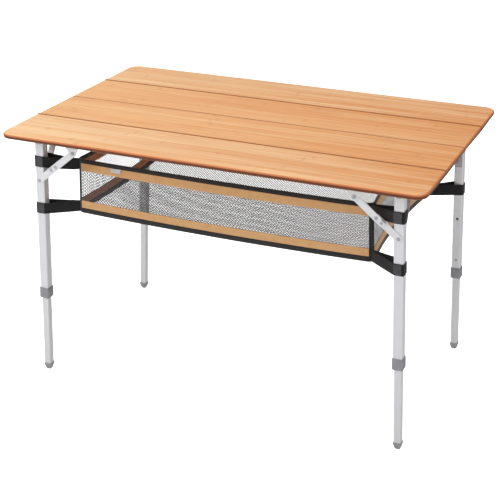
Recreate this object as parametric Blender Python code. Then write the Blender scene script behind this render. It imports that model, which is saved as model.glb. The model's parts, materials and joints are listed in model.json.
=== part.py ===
"""Folding camp kitchen table: four bamboo boards that fold up in a W, four telescopic legs that fold in
under the outer boards, two-bar locking braces, and a mesh basket hung from the legs on webbing straps.

Metres, +Z up, front = -Y. The origin is on the ground under the middle of the table.
Every leg-side piece is modelled once for the corner at +X +Y and mirrored to the other three.
"""

import math

import bmesh
import bpy
from mathutils import Matrix, Vector

# ---------------------------------------------------------------- driving dimensions
TOP_LENGTH = 1.000
TOP_HEIGHT = 0.640
BOARD_WIDTH = 0.1582
BOARD_THICKNESS = 0.012
BOARD_CORNER = 0.028          # plan radius of the four outer corners
BOARD_EDGE = 0.002            # rounding along the boards' edges
VALLEY_GAP = 0.004            # seams whose boards fold top to top
RIDGE_GAP = 0.0012            # middle seam, folding underside to underside

TOUCH = 0.0003                # gap between pieces that touch
RUNNING = 0.0003              # radial clearance of a pin in its hole

# hinges between the boards
HINGE_AXIS_OFFSET = 0.0003    # hinge axis beyond the faces that fold together
HINGE_INSET = 0.003           # leaf ends short of the boards' ends
KNUCKLE_RADIUS = 0.0016
HINGE_PIN_RADIUS = 0.0007
HINGE_BORE_RADIUS = HINGE_PIN_RADIUS + RUNNING
KNUCKLES = 10
LEAF_THICKNESS = 0.0008
VALLEY_LEAF_DEPTH = 0.0113    # below the axis
RIDGE_LEAF_WIDTH = 0.0123
RIDGE_REBATE_DEPTH = 0.0018

# legs
LEG_END_INSET = 0.069         # pivot, inwards from the end of the top
LEG_SIDE_INSET = 0.067        # leg's centre, inwards from the long edge of the top
LEG_PIVOT_DROP = 0.0145       # below the underside
LEG_SPLAY = math.radians(2.5)
TUBE_WIDTH = 0.022
TUBE_WALL = 0.002
TUBE_CORNER = 0.0028
TUBE_ABOVE_PIVOT = 0.0055
SLIDE_GAP = 0.0005            # between the inner and the outer tube
INNER_WALL = 0.0012
INNER_CORNER = 0.002
INNER_TOP_Z = 0.310
INNER_BOTTOM_Z = 0.014
LEG_TRAVEL = 0.185
COLLAR_WALL = 0.002
COLLAR_HEIGHT = 0.028
COLLAR_LIP = 0.003
COLLAR_CORNER = 0.0045
COLLAR_Z = 0.220
FOOT_WALL = 0.0013
FOOT_TOP_Z = 0.020
FOOT_SQUARE_Z = 0.0125        # the foot is square above this height and round below
BUTTON_RADIUS = 0.003
BUTTON_Z = 0.256
MIDDLE_HOLE_Z = 0.3675
BUTTON_PROUD = 0.0008

# leg head brackets
PIVOT_PIN_RADIUS = 0.003
PLATE = 0.0015
EAR = 0.002
EAR_RADIUS = 0.009
HEAD_PLATE_HALF_LENGTH = 0.022
RIVET_HEAD = 0.0045
RIVET_HEAD_HEIGHT = 0.0012

# side strut from each leg up to its head bracket
STRUT_THICKNESS = 0.002
STRUT_WIDTH = 0.016
STRUT_TAB = (-0.012, 0.010)   # ends of the tab on the leg, from the brace's pin
STRUT_TOP_INSET = 0.0604      # top tab, inwards from the leg's centre
STRUT_TOP_Z_DROP = 0.012      # bend below the pivot axis

# two-bar brace
BRACE_LEG_DROP = 0.112        # lower pivot, below the underside
BRACE_HEAD_INSET = 0.094      # upper pivot, inwards from the leg's pivot
BRACE_HEAD_DROP = 0.031       # upper pivot, below the underside
LINK_HALF_WIDTH = 0.008
LINK_THICKNESS = 0.002
LINK_RIVET = 0.0025
LINK_OVERLAP = 0.016          # upper link's reach past the elbow
LOCK_RIVET_DISTANCE = 0.0155  # second rivet, from the elbow
BRACE_PLATE = (-0.024, 0.028) # ends of the bracket's plate, from the upper pivot
LAYER_GAP = 0.0012            # room for a rivet head between the two links

# basket and straps
BASKET_RIM_DROP = 0.064       # below the underside
BASKET_DEPTH = 0.136
BASKET_END_GAP = 0.0606       # from the leg's inner face to the basket's end
BASKET_SIDE_GAP = 0.028
BASKET_WALL = 0.002
BASKET_CORNER = 0.015
STRAP_WIDTH = 0.027
STRAP_THICKNESS = 0.0015
STRAP_DROPS = {"upper": 0.0655, "lower": 0.1825}

ROUND = 12                    # segments of a pin or a hole
CORNER_STEPS = 2              # segments of a tube's rounded corner

# ---------------------------------------------------------------- worked-out places
UNDERSIDE = TOP_HEIGHT - BOARD_THICKNESS
INNER_BOARD_Y = (RIDGE_GAP + BOARD_WIDTH) / 2
VALLEY_Y = RIDGE_GAP / 2 + BOARD_WIDTH + VALLEY_GAP / 2
OUTER_BOARD_Y = VALLEY_Y + (VALLEY_GAP + BOARD_WIDTH) / 2
LEG_Y = OUTER_BOARD_Y + BOARD_WIDTH / 2 - LEG_SIDE_INSET
PIVOT = Vector((TOP_LENGTH / 2 - LEG_END_INSET, LEG_Y, UNDERSIDE - LEG_PIVOT_DROP))
LEG_FRAME = Matrix.Translation(PIVOT) @ Matrix.Rotation(-LEG_SPLAY, 4, "Y")
TUBE_FACE = TUBE_WIDTH / 2
INNER_WIDTH = TUBE_WIDTH - 2 * (TUBE_WALL + SLIDE_GAP)
COLLAR_WIDTH = TUBE_WIDTH + 2 * COLLAR_WALL
FOOT_WIDTH = INNER_WIDTH + 2 * FOOT_WALL
PLATE_TOP = UNDERSIDE - TOUCH
PLATE_BOTTOM = PLATE_TOP - PLATE
LOWER_LINK_Y = TUBE_FACE + 0.0004
UPPER_LINK_Y = LOWER_LINK_Y + LINK_THICKNESS + LAYER_GAP
BRACE_EAR_Y = UPPER_LINK_Y + LINK_THICKNESS + 0.0004
STRUT_Y = TUBE_FACE + TOUCH


def along_leg(z):
    """Distance from the pivot, down the splayed leg, of the height z (negative below the pivot)."""
    return (z - PIVOT.z) / math.cos(LEG_SPLAY)


def leg_x(z):
    """World x of the leg's centre line at the height z."""
    return PIVOT.x + (PIVOT.z - z) * math.tan(LEG_SPLAY)


def leg_inner_x(z):
    """World x of the leg's inner face at the height z."""
    return leg_x(z) - TUBE_FACE / math.cos(LEG_SPLAY)


BRACE_FOOT = Vector((leg_x(UNDERSIDE - BRACE_LEG_DROP), 0, UNDERSIDE - BRACE_LEG_DROP))
BRACE_HEAD = Vector((PIVOT.x - BRACE_HEAD_INSET, 0, UNDERSIDE - BRACE_HEAD_DROP))
ELBOW = (BRACE_FOOT + BRACE_HEAD) / 2
BRACE_LINE = (BRACE_FOOT - BRACE_HEAD).normalized()

RIM_Z = UNDERSIDE - BASKET_RIM_DROP
FLOOR_Z = RIM_Z - BASKET_DEPTH
BASKET_HALF_WIDTH = LEG_Y - TUBE_FACE - BASKET_SIDE_GAP


# ---------------------------------------------------------------- materials
def material(name, colour, roughness, metallic=0.0):
    made = bpy.data.materials.new(name)
    made.use_nodes = True
    shader = made.node_tree.nodes["Principled BSDF"]
    shader.inputs["Base Color"].default_value = (*colour, 1.0)
    shader.inputs["Roughness"].default_value = roughness
    shader.inputs["Metallic"].default_value = metallic
    made.diffuse_color = (*colour, 1.0)
    return made


# ---------------------------------------------------------------- mesh helpers
def as_object(bm, name="piece"):
    bmesh.ops.recalc_face_normals(bm, faces=bm.faces)
    mesh = bpy.data.meshes.new(name)
    bm.to_mesh(mesh)
    bm.free()
    made = bpy.data.objects.new(name, mesh)
    bpy.context.scene.collection.objects.link(made)
    return made


def discard(piece):
    mesh = piece.data
    bpy.data.objects.remove(piece)
    bpy.data.meshes.remove(mesh)


def combine(base, others, operation):
    """Joins or cuts base with the other pieces, which are used up."""
    for other in others:
        step = base.modifiers.new("step", "BOOLEAN")
        step.operation = operation
        step.solver = "EXACT"
        step.object = other
    bpy.context.view_layer.update()
    evaluated = base.evaluated_get(bpy.context.evaluated_depsgraph_get())
    result = bpy.data.meshes.new_from_object(evaluated)
    base.modifiers.clear()
    old = base.data
    base.data = result
    bpy.data.meshes.remove(old)
    for other in others:
        discard(other)
    return base


def join(base, *others):
    return combine(base, others, "UNION")


def cut(base, *others):
    return combine(base, others, "DIFFERENCE")


def prism(outline, low, high, plane="XY"):
    """A flat outline pushed from low to high along the axis that the plane leaves out."""
    place = {
        "XY": lambda a, b, h: (a, b, h),
        "XZ": lambda a, b, h: (a, h, b),
        "YZ": lambda a, b, h: (h, a, b),
    }[plane]
    bm = bmesh.new()
    rings = [[bm.verts.new(place(a, b, h)) for a, b in outline] for h in (low, high)]
    count = len(outline)
    for i in range(count):
        j = (i + 1) % count
        bm.faces.new((rings[0][i], rings[0][j], rings[1][j], rings[1][i]))
    bm.faces.new(rings[0])
    bm.faces.new(rings[1])
    return as_object(bm)


def box(x, y, z):
    outline = [(x[0], y[0]), (x[1], y[0]), (x[1], y[1]), (x[0], y[1])]
    return prism(outline, z[0], z[1])


def arc(centre, radius, start, end, steps):
    """Points on an arc, angles in degrees."""
    points = []
    for i in range(steps + 1):
        turn = math.radians(start + (end - start) * i / steps)
        points.append((centre[0] + radius * math.cos(turn), centre[1] + radius * math.sin(turn)))
    return points


def disc(centre, radius, steps=ROUND):
    return arc(centre, radius, 0, 360, steps)[:-1]


def pin(centre, radius, low, high, plane="XZ", steps=ROUND):
    return prism(disc(centre, radius, steps), low, high, plane)


def rounded_rectangle(width, depth, radius, steps=CORNER_STEPS):
    points = []
    corners = ((1, 1, 0), (-1, 1, 90), (-1, -1, 180), (1, -1, 270))
    for sx, sy, start in corners:
        centre = (sx * (width / 2 - radius), sy * (depth / 2 - radius))
        points += arc(centre, radius, start, start + 90, steps)
    return points


def capsule(start, end, radius, steps=6):
    """Outline of a flat bar with round ends."""
    heading = math.degrees(math.atan2(end[1] - start[1], end[0] - start[0]))
    tip = arc(end, radius, heading - 90, heading + 90, steps)
    return tip + arc(start, radius, heading + 90, heading + 270, steps)


def loft(rings, close_ends=True):
    """Skin over rings of points that have the same number of points."""
    bm = bmesh.new()
    made = [[bm.verts.new(point) for point in ring] for ring in rings]
    count = len(rings[0])
    for low, high in zip(made, made[1:]):
        for i in range(count):
            j = (i + 1) % count
            bm.faces.new((low[i], low[j], high[j], high[i]))
    if close_ends:
        bm.faces.new(made[0])
        bm.faces.new(made[-1])
    return as_object(bm)


def square_tube(width, wall, corner, low, high):
    outer = rounded_rectangle(width, width, corner)
    inner = rounded_rectangle(width - 2 * wall, width - 2 * wall, corner - wall / 2)
    return cut(prism(outer, low, high), prism(inner, low - wall, high + wall))


def xz(vector):
    return vector.x, vector.z


# ---------------------------------------------------------------- placing
def finish(piece, name, paint, origin=(0, 0, 0), smooth_angle=35):
    """Names a piece that is built in world places, and puts its origin on its joint."""
    origin = Vector(origin)
    piece.data.transform(Matrix.Translation(-origin))
    piece.location = origin
    piece.name = piece.data.name = name
    piece.data.materials.clear()
    piece.data.materials.append(paint)
    piece.data.shade_smooth()
    piece.data.set_sharp_from_angle(angle=math.radians(smooth_angle))
    return piece


def at_each_corner(pattern, name, paint, origin, smooth_angle=35):
    """Mirrors a piece made for the +X +Y corner to all four corners, and uses the pattern up."""
    for label, sx, sy in (("fl", -1, -1), ("fr", 1, -1), ("rl", -1, 1), ("rr", 1, 1)):
        mesh = pattern.data.copy()
        mesh.transform(Matrix.Diagonal((sx, sy, 1, 1)))
        if sx * sy < 0:
            mesh.flip_normals()
        copy = bpy.data.objects.new(name, mesh)
        bpy.context.scene.collection.objects.link(copy)
        finish(copy, f"{name}_{label}", paint, (sx * origin[0], sy * origin[1], origin[2]), smooth_angle)
    discard(pattern)


def to_leg(piece):
    """Moves a piece built along a vertical leg at the origin onto the splayed leg."""
    piece.data.transform(LEG_FRAME)
    return piece


# ---------------------------------------------------------------- boards
def board_outline(y_low, y_high, outer_side):
    """Plan of one board. outer_side is -1 or 1 for a board with two rounded corners, 0 for none."""
    half = TOP_LENGTH / 2
    if outer_side == 0:
        return [(-half, y_low), (half, y_low), (half, y_high), (-half, y_high)]
    inner_y, outer_y = (y_high, y_low) if outer_side < 0 else (y_low, y_high)
    centre_y = outer_y - outer_side * BOARD_CORNER
    centre_x = half - BOARD_CORNER
    right = arc((centre_x, centre_y), BOARD_CORNER, 0, 90 * outer_side, 6)
    left = arc((-centre_x, centre_y), BOARD_CORNER, 90 * outer_side, 180 * outer_side, 6)
    return [(half, inner_y)] + right + left + [(-half, inner_y)]


def board(name, centre_y, outer_side, paint, rebate_side=0):
    half = BOARD_WIDTH / 2
    outline = board_outline(centre_y - half, centre_y + half, outer_side)
    piece = prism(outline, UNDERSIDE, TOP_HEIGHT)
    bm = bmesh.new()
    bm.from_mesh(piece.data)
    rims = [e for e in bm.edges if abs(e.verts[0].co.z - e.verts[1].co.z) < BOARD_EDGE]
    bmesh.ops.bevel(bm, geom=rims, offset=BOARD_EDGE, segments=2, profile=0.5, affect="EDGES")
    bm.to_mesh(piece.data)
    bm.free()
    if rebate_side:
        near = centre_y - rebate_side * (half + RIDGE_GAP)
        far = centre_y - rebate_side * (half - RIDGE_LEAF_WIDTH + RIDGE_GAP / 2 - TOUCH)
        sides = (min(near, far), max(near, far))
        reach = TOP_LENGTH / 2 + BOARD_EDGE
        rebate = box((-reach, reach), sides, (UNDERSIDE - BOARD_EDGE, UNDERSIDE + RIDGE_REBATE_DEPTH))
        cut(piece, rebate)
    finish(piece, name, paint, (0, centre_y, UNDERSIDE))


def knuckle_spans(first):
    """X ranges of every second knuckle, from the first or the second on."""
    half = TOP_LENGTH / 2 - HINGE_INSET
    pitch = 2 * half / KNUCKLES
    for i in range(first, KNUCKLES, 2):
        low = -half + i * pitch
        yield low + TOUCH / 2, low + pitch - TOUCH / 2


def hinge_leaf(name, axis_y, axis_z, side, kind, holds_pin, paint):
    """One leaf of a full-length board hinge. side is -1 or 1 in Y. Its knuckles alternate with the
    other leaf's, and one leaf of each pair holds the pin."""
    half = TOP_LENGTH / 2 - HINGE_INSET
    clear = KNUCKLE_RADIUS + TOUCH

    def slab(x, near, far, low, high):
        ys = sorted((axis_y + side * near, axis_y + side * far))
        return box(x, ys, (axis_z + low, axis_z + high))

    if kind == "valley":
        near = VALLEY_GAP / 2 - TOUCH - LEAF_THICKNESS
        far = near + LEAF_THICKNESS
        leaf = slab((-half, half), near, far, -VALLEY_LEAF_DEPTH, -clear)
        tongue = (near, far, -clear - TOUCH, -LEAF_THICKNESS)
    else:
        top = HINGE_AXIS_OFFSET + RIDGE_REBATE_DEPTH - TOUCH
        leaf = slab((-half, half), clear, RIDGE_LEAF_WIDTH, top - LEAF_THICKNESS, top)
        tongue = (LEAF_THICKNESS / 2, clear + TOUCH, top - LEAF_THICKNESS, top - TOUCH)
    additions = []
    for span in knuckle_spans(0 if holds_pin else 1):
        additions.append(slab(span, *tongue))
        additions.append(pin((axis_y, axis_z), KNUCKLE_RADIUS, *span, "YZ"))
    if holds_pin:
        additions.append(pin((axis_y, axis_z), HINGE_PIN_RADIUS, -half, half, "YZ", 8))
    join(leaf, *additions)
    if not holds_pin:
        cut(leaf, pin((axis_y, axis_z), HINGE_BORE_RADIUS, -half - clear, half + clear, "YZ", 8))
    finish(leaf, name, paint, (0, axis_y, axis_z))


# ---------------------------------------------------------------- leg heads and struts
def ear(y_low, centre, radius, top_half, thickness=EAR):
    """A hanging plate, round at the bottom about its pivot, that runs up into its base plate."""
    x, z = centre
    top = PLATE_TOP - PLATE / 2
    outline = [(x + top_half, top), (x - top_half, top)] + arc(centre, radius, 180, 360, 6)
    return prism(outline, y_low, y_low + thickness, "XZ")


def head_bracket():
    """Base plate with an ear each side of the leg and one for the strut, and the pins they carry."""
    centre = xz(PIVOT)
    strut_y = LEG_Y - STRUT_TOP_INSET
    low_y = strut_y - STRUT_THICKNESS / 2 - TOUCH - EAR - 0.004
    high_y = LEG_Y + TUBE_FACE + EAR + 0.006
    plate = rounded_rectangle(2 * HEAD_PLATE_HALF_LENGTH, high_y - low_y, 0.004)
    plate = [(x + PIVOT.x, y + (low_y + high_y) / 2) for x, y in plate]
    bracket = prism(plate, PLATE_BOTTOM, PLATE_TOP)
    outer_ear = LEG_Y + TUBE_FACE + 2 * TOUCH
    inner_ear = LEG_Y - TUBE_FACE - 2 * TOUCH - EAR
    strut_ear = strut_y - STRUT_THICKNESS / 2 - TOUCH - EAR
    ears = [ear(y, centre, EAR_RADIUS, 0.012) for y in (outer_ear, inner_ear, strut_ear)]
    head = PIVOT.x, PIVOT.z
    main_pin = pin(head, PIVOT_PIN_RADIUS, inner_ear, outer_ear + EAR + RIVET_HEAD_HEIGHT / 2)
    main_head = pin(head, RIVET_HEAD, outer_ear + EAR / 2, outer_ear + EAR + RIVET_HEAD_HEIGHT)
    past_tab = strut_y + STRUT_THICKNESS / 2 + TOUCH
    stub = pin(head, PIVOT_PIN_RADIUS, strut_ear, past_tab + RIVET_HEAD_HEIGHT)
    stub_head = pin(head, RIVET_HEAD, past_tab, past_tab + RIVET_HEAD_HEIGHT)
    return join(bracket, *ears, main_pin, main_head, stub, stub_head)


def side_strut():
    """Bent strip: a tab on the leg's inner face, a slope inwards, and a tab on the pivot axis."""
    face_y = LEG_Y - STRUT_Y - STRUT_THICKNESS / 2
    top_y = LEG_Y - STRUT_TOP_INSET
    path = [
        (face_y, BRACE_FOOT.z + STRUT_TAB[0]),
        (face_y, BRACE_FOOT.z + STRUT_TAB[1]),
        (top_y, PIVOT.z - STRUT_TOP_Z_DROP),
        (top_y, PIVOT.z + LINK_HALF_WIDTH),
    ]
    slope = math.atan2(path[1][0] - path[2][0], path[2][1] - path[1][1])
    shift = math.tan(slope / 2) * STRUT_THICKNESS / 2
    half = STRUT_THICKNESS / 2
    outward = [
        (face_y + half, path[0][1]),
        (face_y + half, path[1][1] + shift),
        (top_y + half, path[2][1] + shift),
        (top_y + half, path[3][1]),
    ]
    inward = [
        (top_y - half, path[3][1]),
        (top_y - half, path[2][1] - shift),
        (face_y - half, path[1][1] - shift),
        (face_y - half, path[0][1]),
    ]
    strip = prism(outward + inward, -STRUT_WIDTH / 2, STRUT_WIDTH / 2, "YZ")
    lean = Matrix.Translation((PIVOT.x, 0, PIVOT.z)) @ Matrix.Rotation(-LEG_SPLAY, 4, "Y")
    strip.data.transform(lean @ Matrix.Translation((0, 0, -PIVOT.z)))
    reach = STRUT_THICKNESS
    foot_hole = pin(xz(BRACE_FOOT), LINK_RIVET + RUNNING, face_y - reach, face_y + reach)
    top_hole = pin(xz(PIVOT), PIVOT_PIN_RADIUS + RUNNING, top_y - reach, top_y + reach)
    return cut(strip, foot_hole, top_hole)


# ---------------------------------------------------------------- leg tubes
def collar_low():
    return along_leg(COLLAR_Z) - COLLAR_HEIGHT / 2


def outer_tube():
    low = collar_low() + COLLAR_LIP + TOUCH
    tube = square_tube(TUBE_WIDTH, TUBE_WALL, TUBE_CORNER, low, TUBE_ABOVE_PIVOT)
    through = TUBE_WIDTH
    holes = [
        pin((0, 0), PIVOT_PIN_RADIUS + RUNNING, -through, through),
        pin((0, along_leg(BRACE_FOOT.z)), LINK_RIVET + RUNNING, -through, through),
    ]
    button_z = along_leg(BUTTON_Z)
    for z in (button_z, along_leg(MIDDLE_HOLE_Z), button_z + LEG_TRAVEL):
        holes.append(pin((0, z), BUTTON_RADIUS + RUNNING, -through, 0))
    return to_leg(cut(tube, *holes))


def inner_tube():
    low, high = along_leg(INNER_BOTTOM_Z), along_leg(INNER_TOP_Z)
    tube = square_tube(INNER_WIDTH, INNER_WALL, INNER_CORNER, low, high)
    hole = pin((0, along_leg(BUTTON_Z)), BUTTON_RADIUS + RUNNING, -INNER_WIDTH, 0)
    return to_leg(cut(tube, hole))


def lock_collar():
    low = collar_low()
    high = low + COLLAR_HEIGHT
    edge = 0.0015
    rings = []
    for z, shrink in ((low, edge), (low + edge, 0), (high - edge, 0), (high, edge)):
        width = COLLAR_WIDTH - 2 * shrink
        outline = rounded_rectangle(width, width, COLLAR_CORNER - shrink)
        rings.append([(x, y, z) for x, y in outline])
    collar = loft(rings)
    wide = TUBE_WIDTH + 2 * TOUCH
    narrow = INNER_WIDTH + 2 * TOUCH
    socket = prism(rounded_rectangle(wide, wide, TUBE_CORNER), low + COLLAR_LIP, high + edge)
    sleeve = prism(rounded_rectangle(narrow, narrow, INNER_CORNER), low - edge, high)
    return to_leg(cut(collar, socket, sleeve))


def foot():
    """Cap with a square socket above and a half-round tread below, resting on the ground at z = 0."""
    radius = FOOT_WIDTH / 2
    centre_z = along_leg(radius / math.cos(LEG_SPLAY))
    square = rounded_rectangle(FOOT_WIDTH, FOOT_WIDTH, 0.0035, 3)
    rings = []
    for z in (along_leg(FOOT_TOP_Z), along_leg(FOOT_SQUARE_Z)):
        rings.append([(x, y, z) for x, y in square])
    levels = 5
    for i in range(levels):
        turn = math.pi / 2 * i / levels
        ring = []
        for x, y in square:
            heading = math.atan2(y, x)
            flat = radius * math.cos(turn)
            ring.append((flat * math.cos(heading), flat * math.sin(heading), centre_z - radius * math.sin(turn)))
        rings.append(ring)
    cap = loft(rings)
    width = INNER_WIDTH + 2 * TOUCH
    low = along_leg(INNER_BOTTOM_Z) - TOUCH
    socket = prism(rounded_rectangle(width, width, INNER_CORNER), low, along_leg(FOOT_TOP_Z) + radius)
    return to_leg(cut(cap, socket))


def snap_button():
    """Round button on a V-shaped leaf spring that stands inside the inner tube."""
    z = along_leg(BUTTON_Z)
    inside = INNER_WIDTH / 2 - INNER_WALL - TOUCH
    strip = 0.0006
    drop = 0.030
    button = pin((0, z), BUTTON_RADIUS, -TUBE_FACE - BUTTON_PROUD, -inside + strip / 2)
    spring = prism(
        [
            (-inside, z + 0.006),
            (-inside, z - 0.006),
            (-strip, z - drop),
            (strip, z - drop),
            (inside, z + 0.006),
            (inside - strip, z + 0.006),
            (0, z - drop + 4 * strip),
            (-inside + strip, z - 0.006),
            (-inside + strip, z + 0.006),
        ],
        -BUTTON_RADIUS,
        BUTTON_RADIUS,
        "YZ",
    )
    return to_leg(join(button, spring))


# ---------------------------------------------------------------- braces
def rivet(centre, low, radius=RIVET_HEAD):
    return pin(xz(centre), radius, low, low + RIVET_HEAD_HEIGHT)


def lower_link():
    """Lower brace bar with the pin that passes through the strut's tab and the leg."""
    low = LEG_Y + LOWER_LINK_Y
    bar = prism(capsule(xz(BRACE_FOOT), xz(ELBOW), LINK_HALF_WIDTH), low, low + LINK_THICKNESS, "XZ")
    inner_head = LEG_Y - STRUT_Y - STRUT_THICKNESS - TOUCH - RIVET_HEAD_HEIGHT
    shank = pin(xz(BRACE_FOOT), LINK_RIVET, inner_head, low + LINK_THICKNESS / 2)
    outer_head = low + LINK_THICKNESS - LAYER_GAP / 3
    return join(bar, shank, rivet(BRACE_FOOT, inner_head), rivet(BRACE_FOOT, outer_head))


def upper_link():
    """Upper brace bar: its pin turns in the bracket's ear, its far end laps over the lower bar."""
    low = LEG_Y + UPPER_LINK_Y
    high = low + LINK_THICKNESS
    end = ELBOW + BRACE_LINE * LINK_OVERLAP
    bar = prism(capsule(xz(BRACE_HEAD), xz(end), LINK_HALF_WIDTH), low, high, "XZ")
    ear_face = LEG_Y + BRACE_EAR_Y + EAR + TOUCH
    shank = pin(xz(BRACE_HEAD), LINK_RIVET, high - LINK_THICKNESS / 2, ear_face + RIVET_HEAD_HEIGHT)
    lock = ELBOW + BRACE_LINE * LOCK_RIVET_DISTANCE
    heads = [rivet(BRACE_HEAD, ear_face)]
    heads.append(rivet(ELBOW, high - RIVET_HEAD_HEIGHT / 4))
    heads.append(rivet(lock, high - RIVET_HEAD_HEIGHT / 4, RIVET_HEAD * 0.75))
    side = Vector((BRACE_LINE.z, 0, -BRACE_LINE.x))
    tab_at = lock + side * (LINK_HALF_WIDTH - EAR / 2)
    tab = box((-0.006, 0.006), (low, high + 0.005), (-EAR / 2, EAR / 2))
    turn = Matrix.Rotation(math.atan2(-BRACE_LINE.z, BRACE_LINE.x), 4, "Y")
    tab.data.transform(Matrix.Translation((tab_at.x, 0, tab_at.z)) @ turn)
    return join(bar, shank, *heads, tab)


def brace_bracket():
    """Angle plate under the board whose hanging ear carries the brace's upper pivot."""
    low = LEG_Y + BRACE_EAR_Y
    ends = BRACE_HEAD.x + BRACE_PLATE[0], BRACE_HEAD.x + BRACE_PLATE[1]
    plate = box(ends, (LEG_Y - 0.008, low + EAR), (PLATE_BOTTOM, PLATE_TOP))
    top = PLATE_TOP - PLATE / 2
    outline = [(ends[1], top), (ends[0], top)]
    outline += arc(xz(BRACE_HEAD), EAR_RADIUS, 180, 360, 6)
    hanging = prism(outline, low, low + EAR, "XZ")
    hole = pin(xz(BRACE_HEAD), LINK_RIVET + RUNNING, low - EAR, low + 2 * EAR)
    return cut(join(plate, hanging), hole)


# ---------------------------------------------------------------- basket and straps
def basket_half_length(z):
    """The basket's ends run parallel to the legs."""
    return leg_inner_x(z) - BASKET_END_GAP


def basket_ring(z, wall, height):
    """Outline of the basket as it is at the height z, drawn wall inside that and at the given height."""
    length = 2 * (basket_half_length(z) - wall)
    outline = rounded_rectangle(length, 2 * (BASKET_HALF_WIDTH - wall), BASKET_CORNER - wall)
    return [(x, y, height) for x, y in outline]


def basket(name, paint):
    rings = [
        basket_ring(FLOOR_Z, 0, FLOOR_Z),
        basket_ring(RIM_Z, 0, RIM_Z),
        basket_ring(RIM_Z, BASKET_WALL, RIM_Z),
        basket_ring(FLOOR_Z, BASKET_WALL, FLOOR_Z + BASKET_WALL),
    ]
    finish(loft(rings), name, paint, (0, 0, FLOOR_Z))


def strap(z):
    """Webbing loop round the leg at the height z with a tail to the basket's corner."""
    inside = TUBE_WIDTH + 2 * TOUCH
    outside = inside + 2 * STRAP_THICKNESS
    middle = along_leg(z)
    low, high = middle - STRAP_WIDTH / 2, middle + STRAP_WIDTH / 2
    outer = prism(rounded_rectangle(outside, outside, TUBE_CORNER + STRAP_THICKNESS), low, high)
    hole = prism(rounded_rectangle(inside, inside, TUBE_CORNER), low - TUBE_WALL, high + TUBE_WALL)
    loop = to_leg(cut(outer, hole))
    start = Vector((leg_x(z) - (inside + STRAP_THICKNESS) / 2, LEG_Y - TUBE_FACE / 2))
    rounding = BASKET_CORNER * (1 - math.sqrt(0.5))
    reach = STRAP_THICKNESS / 2 + TOUCH
    end_x = basket_half_length(max(z - STRAP_WIDTH / 2, FLOOR_Z)) - rounding
    end = Vector((end_x, BASKET_HALF_WIDTH - rounding))
    run = (start - end).normalized()
    end += run * reach
    side = Vector((-run.y, run.x)) * STRAP_THICKNESS / 2
    outline = [tuple(p) for p in (start + side, end + side, end - side, start - side)]
    tail = prism(outline, z - STRAP_WIDTH / 2, z + STRAP_WIDTH / 2)
    return join(loop, tail)


# ---------------------------------------------------------------- the whole table
def build():
    for old in list(bpy.data.objects):
        bpy.data.objects.remove(old)

    bamboo = material("bamboo", (0.78, 0.45, 0.20), 0.42)
    hinge_metal = material("hinge_metal", (0.16, 0.14, 0.12), 0.45, 0.8)
    aluminium = material("leg_aluminium", (0.78, 0.79, 0.80), 0.30, 0.9)
    steel = material("bracket_steel", (0.70, 0.71, 0.72), 0.35, 0.9)
    grey_plastic = material("collar_plastic", (0.20, 0.21, 0.22), 0.55)
    foot_rubber = material("foot_plastic", (0.27, 0.27, 0.28), 0.60)
    mesh_fabric = material("basket_fabric", (0.55, 0.36, 0.20), 0.85)
    webbing = material("strap_webbing", (0.02, 0.02, 0.022), 0.85)

    board("board_front_outer", -OUTER_BOARD_Y, -1, bamboo)
    board("board_front_inner", -INNER_BOARD_Y, 0, bamboo, rebate_side=-1)
    board("board_rear_inner", INNER_BOARD_Y, 0, bamboo, rebate_side=1)
    board("board_rear_outer", OUTER_BOARD_Y, 1, bamboo)

    above = TOP_HEIGHT + HINGE_AXIS_OFFSET
    below = UNDERSIDE - HINGE_AXIS_OFFSET
    hinge_leaf("hinge_front_outer_leaf", -VALLEY_Y, above, -1, "valley", False, hinge_metal)
    hinge_leaf("hinge_front_inner_leaf", -VALLEY_Y, above, 1, "valley", True, hinge_metal)
    hinge_leaf("hinge_middle_front_leaf", 0, below, -1, "ridge", True, hinge_metal)
    hinge_leaf("hinge_middle_rear_leaf", 0, below, 1, "ridge", False, hinge_metal)
    hinge_leaf("hinge_rear_inner_leaf", VALLEY_Y, above, -1, "valley", True, hinge_metal)
    hinge_leaf("hinge_rear_outer_leaf", VALLEY_Y, above, 1, "valley", False, hinge_metal)

    elsewhere = (PIVOT.x, LEG_Y, PLATE_TOP)
    leg_pin = (BRACE_FOOT.x, LEG_Y + LOWER_LINK_Y, BRACE_FOOT.z)
    top_pin = (BRACE_HEAD.x, LEG_Y + UPPER_LINK_Y, BRACE_HEAD.z)
    button_at = (leg_x(BUTTON_Z), LEG_Y - TUBE_FACE, BUTTON_Z)
    at_each_corner(head_bracket(), "head_bracket", steel, elsewhere)
    at_each_corner(side_strut(), "side_strut", steel, PIVOT)
    at_each_corner(outer_tube(), "leg_outer_tube", aluminium, PIVOT)
    at_each_corner(lock_collar(), "lock_collar", grey_plastic, PIVOT)
    at_each_corner(inner_tube(), "leg_inner_tube", aluminium, (leg_x(COLLAR_Z), LEG_Y, COLLAR_Z))
    at_each_corner(foot(), "foot", foot_rubber, (leg_x(FOOT_TOP_Z), LEG_Y, FOOT_TOP_Z))
    at_each_corner(snap_button(), "snap_button", steel, button_at)
    at_each_corner(lower_link(), "brace_lower_link", aluminium, leg_pin)
    at_each_corner(upper_link(), "brace_upper_link", aluminium, top_pin)
    at_each_corner(brace_bracket(), "brace_bracket", steel, (BRACE_HEAD.x, LEG_Y, PLATE_TOP))

    basket("basket", mesh_fabric)
    for level, drop in STRAP_DROPS.items():
        z = UNDERSIDE - drop
        at_each_corner(strap(z), f"strap_{level}", webbing, (leg_x(z), LEG_Y, z))


build()
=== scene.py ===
"""Looks of the folding camp kitchen table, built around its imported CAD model.

Metres, in the frame of the CAD model: front is -Y, +X runs along the top, the ground is at z = 0.
Pieces that repeat at the legs are modelled once for the corner at +X +Y and mirrored to the others.
"""

import json
import math

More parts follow.
